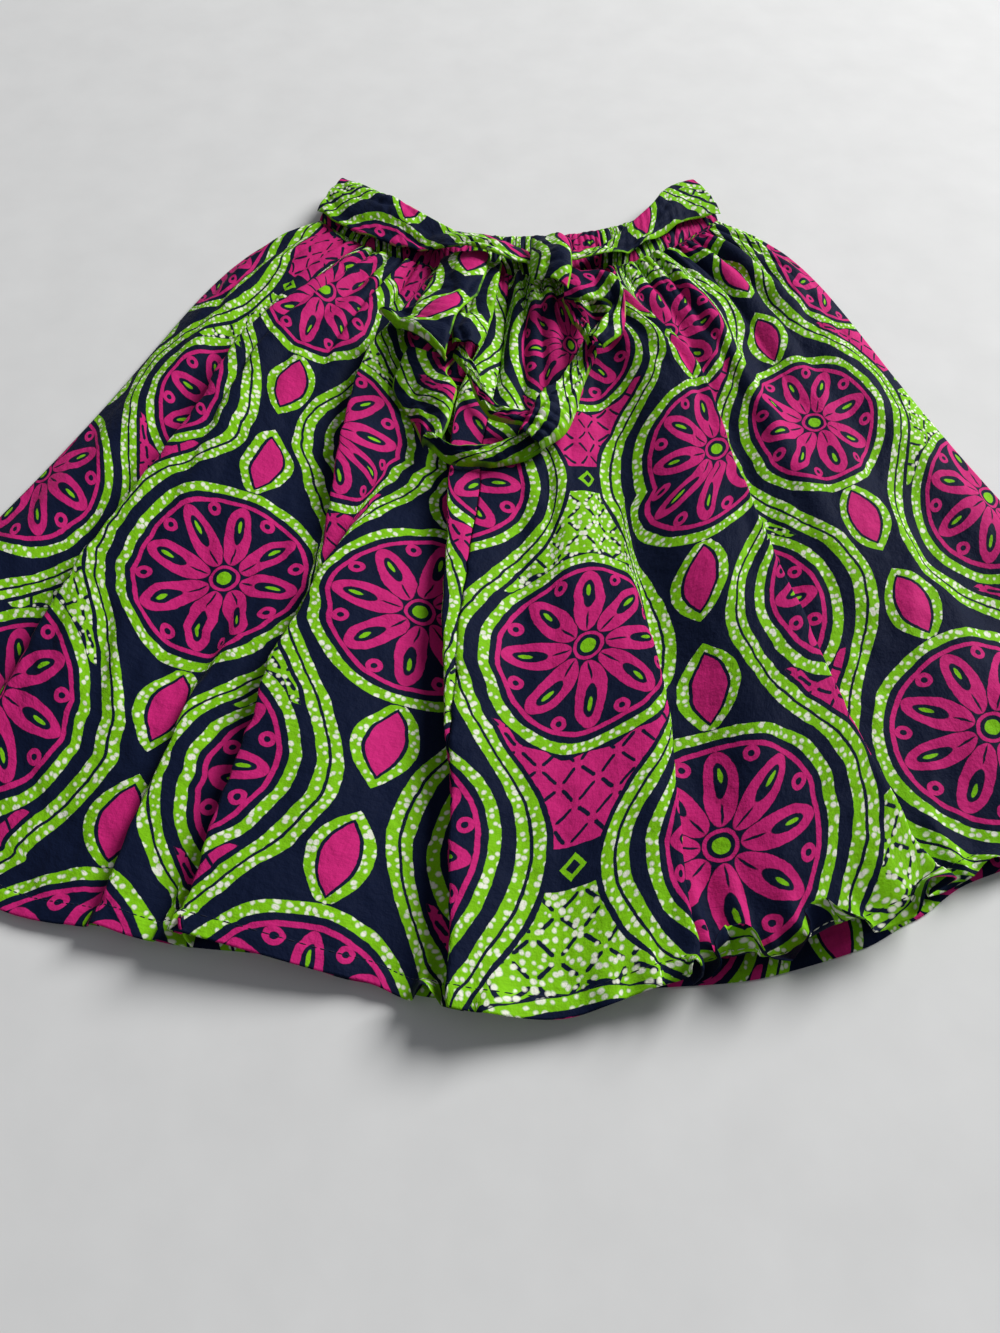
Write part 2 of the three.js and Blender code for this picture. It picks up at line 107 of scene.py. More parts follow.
# Short flutes at the hem: place across, height and half width in mm, and how far down they start
FLUTES = (
    (-0.36, 5, 6, 0.90), (-0.31, 6, 8, 0.86), (-0.08, 5, 5, 0.92), (-0.05, 4, 4, 0.94), (-0.015, 5, 5, 0.92),
    (0.02, 4, 4, 0.94), (0.10, 4, 5, 0.93), (0.13, 5, 4, 0.94), (0.155, 4, 4, 0.95), (0.18, 6, 5, 0.90),
    (0.215, 8, 6, 0.88), (0.245, 6, 4, 0.93), (0.27, 9, 6, 0.86), (0.30, 6, 4, 0.93), (0.325, 8, 5, 0.90),
    (0.355, 6, 5, 0.92), (0.385, 5, 4, 0.94), (0.42, 5, 7, 0.88), (0.47, 5, 5, 0.93), (0.56, 7, 8, 0.86),
)
FLUTES_FROM = 0.86              # the first of them starts here
# Where the hem turns up: place across, half width there and angle in degrees
CURLS = (
    (-0.31, 0.012, 60), (-0.075, 0.014, 60), (0.17, 0.012, 60), (0.255, 0.036, 165), (0.35, 0.034, 160),
    (0.45, 0.02, 70), (0.6, 0.03, 50),
)
CURL_DEPTH, CURL_BEND = 19, 6      # how far from the edge that starts, and how far the bend runs, mm

# How far the hem runs past its arc: place across, front, back, mm
HEM_LINE = (
    (-1.00, 0, -2), (-0.60, 9, 4), (-0.42, -5, -9), (-0.26, -15, -18), (-0.16, -11, -12),
    (-0.07, -1, -7), (0.06, 7, 2), (0.15, -5, -8), (0.31, 4, -2), (0.42, -4, -2),
    (0.49, -14, -6), (0.57, -12, -12), (0.66, -6, -8), (0.78, -2, -4), (1.00, 0, -2),
)

# The loose stretches of the sash, in the order in which they lie on each other. A row is a section across the
# strip: edge a and edge b in plan, each with how far it is lifted off what is under it, mm
SECTION_COLUMNS = ("ax", "ay", "a_lift", "bx", "by", "b_lift")
STRETCHES = {
    "tail_left": (
        (-57, 22, 0, -47, 16, 0), (-66, 50, 0, -39, 38, 0), (-74, 64, 0, -35, 58, 1),
        (-83, 82, 0, -33, 75, 3), (-79, 105, 1, -41, 94, 4), (-74, 127, 0, -30, 121, 2),
    ),
    "tail_turn": (
        (18, 34, 5, 30, 18, 0), (6, 20, 9, 14, 7, 0), (-14, 10, 10, -10, 0, 0), (-35, 9, 9, -35, 0, 0),
        (-51, 22, 4, -57, 17, 0),
    ),
    "tail_edge": (
        (-30, 120, 4, -37, 111, 0), (-19, 95, 6, -26, 87, 0), (-11, 69, 7, -16, 60, 0),
        (8, 50, 7, 3, 39, 0), (28, 52, 4, 23, 34, 0),
    ),
    "tail_right": (
        (68, 139, 1, 77, 123, 0), (49, 94, 2, 64, 85, 0), (32, 67, 2, 58, 56, 0),
        (23, 45, 1, 48, 28, 0), (13, 22, 0, 30, 12, 0),
    ),
    "loop_left_under": (
        (-30, 242, 0, 2, 240, 0), (-35, 190, 2, -3, 190, 2), (-37, 159, 3, -7, 160, 3),
        (-38, 135, 3, -10, 135, 2), (-37, 115, 1, -16, 112, 0),
    ),
    "loop_left": (
        (-50, 246, 0, -8, 240, 0), (-61, 195, 3, -17, 186, 2), (-71, 167, 5, -29, 154, 3),
        (-81, 158, 5, -36, 124, 3), (-92, 156, 3, -41, 96, 1),
    ),
    "loop_right_strand": (
        (51, 184, 2, 61, 186, 2), (58, 161, 0, 68, 165, 2), (64, 139, 0, 71, 143, 2),
        (69, 122, 0, 75, 124, 0),
    ),
    "loop_right": (
        (54, 231, 2, 52, 176, 3), (74, 217, 8, 70, 170, 6), (92, 200, 12, 85, 169, 8),
        (99, 177, 12, 90, 163, 4), (100, 149, 10, 82, 146, 2), (95, 127, 6, 73, 132, 0),
        (80, 110, 3, 68, 123, 1),
    ),
}
# The two stretches over the waistband: place across, lower and upper edge above the seam, and how far the
# upper edge stands up, mm
WAIST_COLUMNS = ("s", "low", "high", "tip")
WAIST_STRETCHES = {
    "sash_left": (
        (-1.00, -3, 54, 4), (-0.84, -3, 60, 8), (-0.66, -1, 58, 9), (-0.42, 0, 44, 6),
        (-0.18, -6, 28, 3), (0.10, -10, 18, 0),
    ),
    "sash_right": (
        (0.20, -20, 6, 0), (0.40, -14, 16, 2), (0.55, 0, 32, 4), (0.70, 8, 46, 7), (0.85, 10, 60, 8),
        (1.00, -4, 54, 3),
    ),
}
KNOT = {
    "sash_knot": (
        (27, 261, 0, 58, 261, 0), (26, 237, 0, 59, 236, 0), (25, 211, 5, 59, 201, 5),
        (26, 195, 3, 55, 176, 2),
    ),
}
# How each stretch is creased along its length: creases across, their height, the crown of the whole width,
# the part of the print that it was cut from, whether the print runs across it, the radius of an end that is
# rolled under, and the height of the ruches across it, mm
CREASE_COLUMNS = ("creases", "height", "crown", "print_u", "print_v", "across", "roll", "ruche")
CREASES = {
    "tail_left": (1.6, 2.4, 3.0, 40, 20, 0, 0, 0.6),
    "tail_turn": (1.4, 2.0, 3.5, 24, 150, 0, 0, 0.8),
    "tail_edge": (1.5, 2.0, 2.0, 52, 30, 0, 0, 1.2),
    "tail_right": (2.7, 4.5, 4.0, 60, 180, 0, 0, 2.2),
    "loop_left_under": (1.7, 3.0, 3.0, 20, 100, 0, 0, 0.6),
    "loop_left": (1.8, 2.9, 3.6, -30, 100, 0, 3.2, 0.5),
    "loop_right_strand": (1.5, 2.5, 1.5, 0, 20, 0, 0, 1.5),
    "loop_right": (1.5, 2.6, 2.5, 5, 30, 0, 0, 0.6),
    "sash_left": (2.2, 3.0, 1.0, -90, 196, 1, 0, 0.7),
    "sash_right": (2.4, 3.0, 1.0, 150, 190, 1, 0, 0.7),
    "sash_knot": (1.4, 2.6, 5.0, -34, 100, 0, 0, 0.3),
}
SASH_HANG = 3.2                 # how far the lower edge of the sash stands off the gathers, mm
SASH_EDGE_WEAR = 1.1            # width of the rubbed edge, mm
ROLL_REACH, ROLL_WALL = 16, 1.6    # how far before a rolled end it rises, and its wall, mm
ROLL_FROM, ROLL_TO, ROLL_STEPS = 8, 205, 14    # degrees
DRAPE_CELL, DRAPE_REACH, DRAPE_FLAT, DRAPE_SLOPE = 2, 40, 8, 0.45
DRAPE_LOW, DRAPE_CELLS = (-260.0, -40.0), (280, 210)     # corner of the draped area, mm, and its cells

# Ruching of the waistband: pitch, height on the front and on the back, mm
RUCHE_PITCH, RUCHE_FRONT, RUCHE_BACK = 5.2, 2.0, 1.5
BAND_STRETCH = 2.1              # cloth across for each mm of gathered band


# ---- numbers ----

def mix(a, b, share):
    return a + (b - a) * share


def smooth(x, start, end):
    x = np.clip((x - start) / (end - start), 0, 1)
    return x * x * (3 - 2 * x)


def ripples(x, y, seed):
    """Smooth random heights from -1 to 1, one cell to each unit of x and y."""
    lattice = np.random.default_rng(seed).uniform(-1, 1, (64, 64))
    i, j = np.floor(x).astype(int), np.floor(y).astype(int)
    u, v = x - i, y - j
    u, v = u * u * (3 - 2 * u), v * v * (3 - 2 * v)
    low = mix(lattice[i % 64, j % 64], lattice[(i + 1) % 64, j % 64], u)
    high = mix(lattice[i % 64, (j + 1) % 64], lattice[(i + 1) % 64, (j + 1) % 64], u)
    return mix(low, high, v)


def along(rows, share):
    """Rows of a table at places between them, on a smooth curve, one row of numbers for each place."""
    rows = np.array(rows, float)
    place = np.asarray(share) * (len(rows) - 1)
    row = np.minimum(place.astype(int), len(rows) - 2)
    at = [rows[np.clip(row + n, 0, len(rows) - 1)] for n in (-1, 0, 1, 2)]
    u = (place - row)[..., None]
    third = 3 * (at[1] - at[2]) + at[3] - at[0]
    return at[1] + 0.5 * u * (at[2] - at[0] + u * (2 * at[0] - 5 * at[1] + 4 * at[2] - at[3] + u * third))


# ---- the laid skirt ----

def spread(t):
    """Millimetres across the plan for one unit of s."""
    return mix(WAIST_HALF, HEM_RADIUS * HEM_HALF_ANGLE, t)


def fan(s, t, side):
    """Plan of the skirt: s from -1 to 1 across, t from 0 at the waist seam to 1 at the hem."""
    rows = np.array(HEM_LINE)
    extra = np.zeros_like(s)
    for a, b in zip(rows, rows[1:]):
        inside = (s >= a[0]) & (s <= b[0])
        extra = np.where(inside, mix(a[side], b[side], smooth(s, a[0], b[0])), extra)
    angle, reach = HEM_HALF_ANGLE * s, HEM_RADIUS + extra
    bulge = HIP_BULGE * s * np.abs(s) * (t / HIP_AT) * np.exp(1 - t / HIP_AT)
    x = mix(WAIST_SHIFT + WAIST_HALF * s, reach * np.sin(angle), t) + bulge
    y = mix(WAIST_Y + WAIST_SAG * np.abs(s) ** WAIST_SAG_POWER, HEM_CENTRE_Y - reach * np.cos(angle), t)
    return x, y


def from_crest(fold, s, t):
    return (s - mix(fold["top"], fold["hem"], t)) * spread(t)


def fold_at(fold, s, t):
    """How strongly a fold stands at a place, from 0 to 1."""
    grow = smooth(t, fold["start"] - 0.02, fold["start"] + FOLD_GROWTH)
    fade = 1 - smooth(t, fold["end"] - FOLD_FADE, fold["end"])
    distance = from_crest(fold, s, t)
    width = np.where(distance < 0, fold["left"], fold["right"]) * mix(FOLD_WAIST_WIDTH, 1, t)
    return grow * fade * np.exp(-((distance / width) ** 2))


def waves(count, s):
    return 0.5 + 0.5 * np.cos(np.pi * count * s + GATHER_UNEVEN * np.sin(11 * s))


def each_gather(phase, seed):
    """Two random shares for each gather: one for its reach down the cloth and one for its height."""
    which = np.floor(phase).astype(int) % RANDOM_GATHERS
    return np.random.default_rng(seed).uniform(0, 1, (2, RANDOM_GATHERS))[:, which]


def fine_gathers(s, t):
    """Narrow gathers with sharp valleys between them, each of its own height and length."""
    phase = s * FINE_GATHERS / 2 + 0.4 * ripples(s * 9 + 20, t * 4, 5)
    long, tall = each_gather(phase, 11)
    reach = 0.03 + 0.17 * long ** 2.5
    return np.abs(np.sin(np.pi * phase)) * (0.45 + 0.55 * tall) * np.exp(-((t / reach) ** 1.5))


def long_gathers(s, t):
    """Soft creases that run on from the waist, a few of them half way down."""
    phase = s * LONG_GATHERS / 2 + 0.5 * ripples(s * 7 + 9, t * 2.5, 6)
    long, tall = each_gather(phase, 12)
    reach = 0.16 + 0.55 * long ** 1.6
    sharp = np.abs(np.sin(np.pi * phase)) ** 1.3 * (0.25 + 0.75 * tall)
    return sharp * smooth(t, 0, 0.05) * np.exp(-((t / reach) ** 2))


def crumple(s, t):
    """Small unevenness of limp cotton, long along the folds and finer across them, mm."""
    across, down = s * spread(t), t * LENGTH
    wander = ripples(across / 60 + 7, down / 90, 21)
    long = ripples(across / 24 + wander, down / 120 + 3, 22)
    short = ripples(across / 10 + wander + 30, down / 34 + 9, 23)
    cross = ripples((across + down) / 26 + 40, (down - across) / 13 + 40, 24)
    return 1.6 * long + 0.8 * short + 0.5 * cross


def gathers(s, t):
    """Soft waves, uneven ripples, narrow gathers and long creases below the waistband, mm."""
    fades = SOFT_FROM + 0.2 + 0.15 * np.sin(9 * s)
    soft = SOFT_HEIGHT * waves(SOFT_FOLDS, s) * smooth(t, 0, SOFT_FROM) * (1 - smooth(t, fades, SOFT_TO))
    reach = GATHER_REACH * (1 + 0.45 * np.sin(23 * s))
    uneven = 0.65 + 0.5 * ripples(s * 8 + 30, t * 0 + 4, 7)
    rippled = GATHER_HEIGHT * uneven * waves(GATHERS, s) * np.exp(-((t / reach) ** 2))
    return soft + rippled + FINE_HEIGHT * fine_gathers(s, t) + LONG_HEIGHT * long_gathers(s, t)


def hem_relief(s, t):
    """Flutes at the hem, the step where it is turned up, and the dent that the stitches pull, mm."""
    height = 0
    for at, tall, width, start in FLUTES:
        height = height + tall * smooth(t, start, 1) * np.exp(-(((s - at) * spread(t) / width) ** 2))
    from_hem = (1 - t) * LENGTH
    turned = 1 - smooth(from_hem, HEM_TURN - 0.8, HEM_TURN + 0.8)
    height = height + turned * (HEM_STEP + 0.35 * ripples(s * spread(t) / 5, t * 0 + 2, 31))
    return height - HEM_DENT * np.exp(-(((from_hem - HEM_TURN) / 1.6) ** 2))


def seam_relief(s, t):
    """Puckers on both sides of the centre seam, and the groove between them, mm."""
    from_seam = (s - mix(SEAM_AT_WAIST, SEAM_AT_HEM, t)) * spread(t)
    pucker = ripples((1 - t) * LENGTH / SEAM_PUCKER_PITCH, np.sign(from_seam) * 3 + 9, 33)
    groove = SEAM_GROOVE * np.exp(-np.abs(from_seam) / 1.6)
    return SEAM_PUCKER * pucker * np.exp(-((from_seam / 8) ** 2)) - groove


def rise(s, t):
    """Height of the front over the back panel's top, mm."""
    height = 0.6 + PUFF_HEM + PUFF_WAIST * np.exp(-t / PUFF_REACH)
    for fold in FOLDS:
        height = height + fold["height"] * fold_at(fold, s, t)
    height += gathers(s, t) + crumple(s, t) * smooth(t, 0, 0.06) + hem_relief(s, t) + seam_relief(s, t)
    height *= 1 - np.exp(-(1 - np.abs(s)) * spread(t) / SIDE_ROLL)
    return np.maximum(height, 0)


def lean(s, t):
    """How far each millimetre of height falls over sideways."""
    total = 0
    for fold in FOLDS:
        stands = smooth(t, fold["start"], fold["start"] + FOLD_FADE)
        total = total + fold["lean"] * stands * np.exp(-((from_crest(fold, s, t) / LEAN_WIDTH) ** 2))
    return total


def curl(s):
    """How far the hem turns up, in radians."""
    return sum(math.radians(angle) * np.exp(-(((s - at) / width) ** 2)) for at, width, angle in CURLS) + 1e-6


def front_points(s, t, inner, thick):
    """Outside of the front, or its inside one thickness under that, mm."""
    height = rise(s, t)
    step = SLOPE_STEP / spread(t)
    before, after = np.maximum(s - step, -1), np.minimum(s + step, 1)
    slope = (rise(after, t) - rise(before, t)) / ((after - before) * spread(t))
    wall = np.minimum(np.hypot(1, slope), STEEPEST_WALL)
    height = height + (CLOTH - inner * thick) * wall
    x, y = fan(s, t, 1)
    turn = curl(s)
    past = np.maximum(CURL_DEPTH - (1 - t) * LENGTH, 0)
    bent = np.minimum(past, CURL_BEND)
    radius, angle = CURL_BEND / turn, turn * bent / CURL_BEND
    back = radius * np.sin(angle) + (past - bent) * np.cos(angle) - past
    up = radius * (1 - np.cos(angle)) + (past - bent) * np.sin(angle)
    x, y = x + back * np.sin(HEM_HALF_ANGLE * s), y - back * np.cos(HEM_HALF_ANGLE * s)
    fall = lean(s, t) * height
    x, y = x + fall * np.cos(HEM_HALF_ANGLE * s), y + fall * np.sin(HEM_HALF_ANGLE * s)
    tucked = 1 - smooth(t, 0, TUCK_REACH)
    z = CLOTH + SEAM_GAP + height + up
    return np.stack([x, y, mix(z, np.minimum(z, TUCK_HEIGHT - inner * thick), tucked)], -1)


def band_place(s, height):
    """Plan of the waistband, height mm above the waist seam: it leans inwards at its ends."""
    tilt = BAND_TILT * s * np.abs(s)
    x, y = fan(s, np.zeros_like(s), 1)
    return x - (SEAM_GAP + height) * np.sin(tilt), y + (SEAM_GAP + height) * np.cos(tilt)


# ---- meshes ----

def shell(name, outer, inner, cloth_place, edges=None):
    """A closed sheet between two grids of points in mm. Its UV map is the place on the flat cloth."""
    rows, columns = outer.shape[:2]
    places = np.concatenate([outer.reshape(-1, 3), inner.reshape(-1, 3)]) * MM
    number = np.arange(2 * rows * columns).reshape(2, rows, columns)
    top, low = number

    def strip(a, b, c, d):
        return np.stack([a, b, c, d], -1).reshape(-1, 4)

    faces = np.concatenate([
        strip(top[:-1, :-1], top[1:, :-1], top[1:, 1:], top[:-1, 1:]),
        strip(low[:-1, :-1], low[:-1, 1:], low[1:, 1:], low[1:, :-1]),
        strip(top[0, :-1], top[0, 1:], low[0, 1:], low[0, :-1]),
        strip(top[-1, 1:], top[-1, :-1], low[-1, :-1], low[-1, 1:]),
        strip(top[1:, 0], top[:-1, 0], low[:-1, 0], low[1:, 0]),
        strip(top[:-1, -1], top[1:, -1], low[1:, -1], low[:-1, -1]),
    ])
    corners = places[faces]
    turn = np.cross(corners[:, 2] - corners[:, 0], corners[:, 3] - corners[:, 1])
    if (corners.mean(1) * turn).sum() < 0:
        faces = faces[:, ::-1]
    mesh = bpy.data.meshes.new(name)
    mesh.vertices.add(len(places))
    mesh.vertices.foreach_set("co", places.ravel())
    mesh.loops.add(faces.size)
    mesh.loops.foreach_set("vertex_index", faces.ravel())
    mesh.polygons.add(len(faces))
    mesh.polygons.foreach_set("loop_start", np.arange(0, faces.size, 4))
    mesh.update(calc_edges=True)
    flat = np.concatenate([cloth_place.reshape(-1, 2)] * 2) * MM
    mesh.uv_layers.new(name="Cloth").data.foreach_set("uv", flat[faces.ravel()].ravel())
    if edges is not None:
        attribute = mesh.attributes.new("from_edge", "FLOAT", "POINT")
        attribute.data.foreach_set("value", np.concatenate([edges.ravel()] * 2))
    mesh.validate()
    mesh.polygons.foreach_set("use_smooth", np.ones(len(faces), bool))
    piece = bpy.data.objects.new(name, mesh)
    bpy.context.scene.collection.objects.link(piece)
    return piece


def grid(columns, rows, crowd=0.0):
    """Two arrays of shares from 0 to 1, the second one running down. crowd draws the rows to both ends."""
    down = np.linspace(0, 1, rows + 1)
    return np.meshgrid(np.linspace(0, 1, columns + 1), down - crowd * np.sin(math.tau * down) / math.tau)


def finish_cloth(piece, node, material):
    piece.data.materials.append(material)
    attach(piece, "root")
    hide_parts(node)


def surface_length(points, axis):
    """Running length over a grid of points along one of its axes, starting at 0."""
    steps = np.linalg.norm(np.diff(points, axis=axis), axis=-1)
    lead = [(1, 0), (0, 0)] if axis == 0 else [(0, 0), (1, 0)]
    return np.pad(np.cumsum(steps, axis), lead)


PRINT_HALF = 620                # cloth on each side of the centre seam, whose gathers hide part of it


def hidden_cloth(s, t):
    """Where the gathers and folds swallow cloth, as a density across."""
    swallow = 0.5 * (1 - waves(GATHERS, s)) ** 8 * np.exp(-((t / 0.3) ** 2)) + 1e-4
    for fold in FOLDS:
        side = 1 if fold["lean"] >= 0 else -1
        flank = fold["right"] if side > 0 else fold["left"]
        away = from_crest(fold, s, t) * side - 0.75 * flank * mix(FOLD_WAIST_WIDTH, 1, t)
        width = 2.5 + 3.5 * t
        laps = 0.4 + 3 * max(abs(fold["lean"]) - 0.6, 0)
        swallow += 0.12 * laps * fold["height"] * fold_at(fold, s, t) ** 0.3 * np.exp(-((away / width) ** 2))
    return swallow


def printed_place(points, s, t):
    """Place of each point on the flat printed cloth, mm from the centre seam and up from the hem."""
    across, plan = surface_length(points, 1), surface_length(np.stack(fan(s, t, 1), -1), 1)
    # From the first flute down the print goes on as it is above it, so the flutes don't pull it
    above = np.searchsorted(t[:, 0], FLUTES_FROM)
    across[above:, 1:] = plan[above:, 1:] * across[above, 1:] / plan[above, 1:]
    swallow = hidden_cloth(s, t)
    running = np.pad(np.cumsum((swallow[:, 1:] + swallow[:, :-1]) / 2, 1), [(0, 0), (1, 0)])
    lost = np.maximum(PRINT_HALF - across[:, -1:], 0) * 0.8
    return np.stack([across + lost * running / running[:, -1:], (1 - t) * LENGTH], -1)


# ---- node groups and materials ----

class Wire:
    """A number socket in a node tree. Sums written with it are laid down as Math nodes."""

    def __init__(self, tree, socket):
        self.tree, self.socket = tree, socket

    def math(self, operation, *others, clamp=False):
        node = add_node(self.tree, "ShaderNodeMath", operation=operation, use_clamp=clamp)
        for value, socket in zip((self, *others), node.inputs):
            plug(self.tree, value, socket)
        return Wire(self.tree, node.outputs[0])

    def __add__(self, other):
        return self.math("ADD", other)

    def __sub__(self, other):
        return self.math("SUBTRACT", other)

    def __mul__(self, other):
        return self.math("MULTIPLY", other)

    def __truediv__(self, other):
        return self.math("DIVIDE", other)

    def __abs__(self):
        return self.math("ABSOLUTE")

    def wrap(self, half):
        """Repeats from -half to half."""
        return self.math("WRAP", half, -half)

    def under(self, edge, soft=0.35):
        """1 where this is smaller than edge, 0 where it is larger, with a soft step between."""
        return ((self - edge) * (-1 / soft)).math("ADD", 0.5, clamp=True)

    def over(self, edge, soft=0.35):
        return ((self - edge) * (1 / soft)).math("ADD", 0.5, clamp=True)

    def between(self, low, high, soft=0.35):
        return abs(self - (low + high) / 2).under((high - low) / 2, soft)


def add_node(tree, kind, **settings):
    node = tree.nodes.new(kind)
    count = len(tree.nodes)
    node.location = (190 * (count % 16), -210 * (count // 16))
    for key, value in settings.items():
        setattr(node, key, value)
    return node


def plug(tree, value, socket):
    if isinstance(value, Wire):
        tree.links.new(value.socket, socket)
    elif isinstance(value, bpy.types.NodeSocket):
        tree.links.new(value, socket)
    else:
        socket.default_value = value


def blend(mask, no, yes, kind, sockets, result):
    node = add_node(mask.tree, "ShaderNodeMix", data_type=kind)
    for value, number in zip((mask, no, yes), sockets):
        plug(mask.tree, value, node.inputs[number])
    return node.outputs[result]


def choose(mask, yes, no):
    """yes where mask is 1 and no where it is 0."""
    return Wire(mask.tree, blend(mask, no, yes, "FLOAT", (0, 2, 3), 0))


def dye(mask, colour, ground):
    """Lays a colour over the ground where mask is 1."""
    return blend(mask, ground, colour, "RGBA", (0, 6, 7), 2)


def new_group(name, inputs, outputs):
    """A shader node group with named sockets. Each input is (name, kind, default)."""
    tree = bpy.data.node_groups.new(name, "ShaderNodeTree")
    for label, kind, default in inputs:
        socket = tree.interface.new_socket(label, in_out="INPUT", socket_type=kind)
        if default is not None:
            socket.default_value = default
    for label, kind in outputs:
        tree.interface.new_socket(label, in_out="OUTPUT", socket_type=kind)
    return tree, add_node(tree, "NodeGroupInput").outputs, add_node(tree, "NodeGroupOutput").inputs


def vector_math(tree, operation, a, b):
    node = add_node(tree, "ShaderNodeVectorMath", operation=operation)
    plug(tree, a, node.inputs[0])
    plug(tree, b, node.inputs[3] if operation == "SCALE" else node.inputs[1])
    return node.outputs[0]


def noise(tree, place, scale, detail=2.0, roughness=0.5):
    node = add_node(tree, "ShaderNodeTexNoise")
    for key, value in (("Vector", place), ("Scale", scale), ("Detail", detail), ("Roughness", roughness)):
        plug(tree, value, node.inputs[key])
    return node


# The print, mm: its repeat, with each column a half drop from the next, and the sizes of its motifs
REPEAT_ACROSS, REPEAT_DOWN = 244, 300
OGEE_MIDDLE, OGEE_SWING = 61, 35
LINE_FROM, LINE_TO, LINE_GROUND = 1.1, 8.6, 12.5         # half of each double line, from its middle outwards
FIELD_FROM, FIELD_TO = 52, 137                           # the filled ends of a frame, from its middle
LEAF_AT, LEAF_LONG, LEAF_WIDE = 108, 29, 16
LEAF_CORE, LEAF_LINE = 11.5, (14, 21.5)
TICK_CELL, TICK_HALF_WIDTH, TICK_HALF_LENGTH = 6.5, 1.7, 4.6
DIAMOND = (4.5, 8.5)
ROSETTE, PETALS = 66, 8
SCALLOP, ROSETTE_GROUND = 1.6, 14
RIM_FROM, RIM_TO, RIM_EDGE = 4, 11.5, 12                 # the lime ring, outwards from the rosette
BUTTON, BUTTON_LINE, OUTER_LINE = 5.5, (8.5, 11), (62.2, 65.5)
# What stands on the middle line of each petal, and what stands between petals: how far out, half length, half
# width, dye
PETAL_SHAPES = ((37, 25, 10.8, "Magenta"), (42, 12, 4.4, "Navy"), (45, 5, 1.5, "Lime"), (20, 7, 0.9, "Navy"))
BERRY_SHAPES = ((57, 5.5, 5.5, "Magenta"), (57, 2.2, 2.2, "Navy"))
# How far the lines waver: by how much, mm, and how finely
WAVERS = ((2.6, 0.05), (0.9, 0.3))


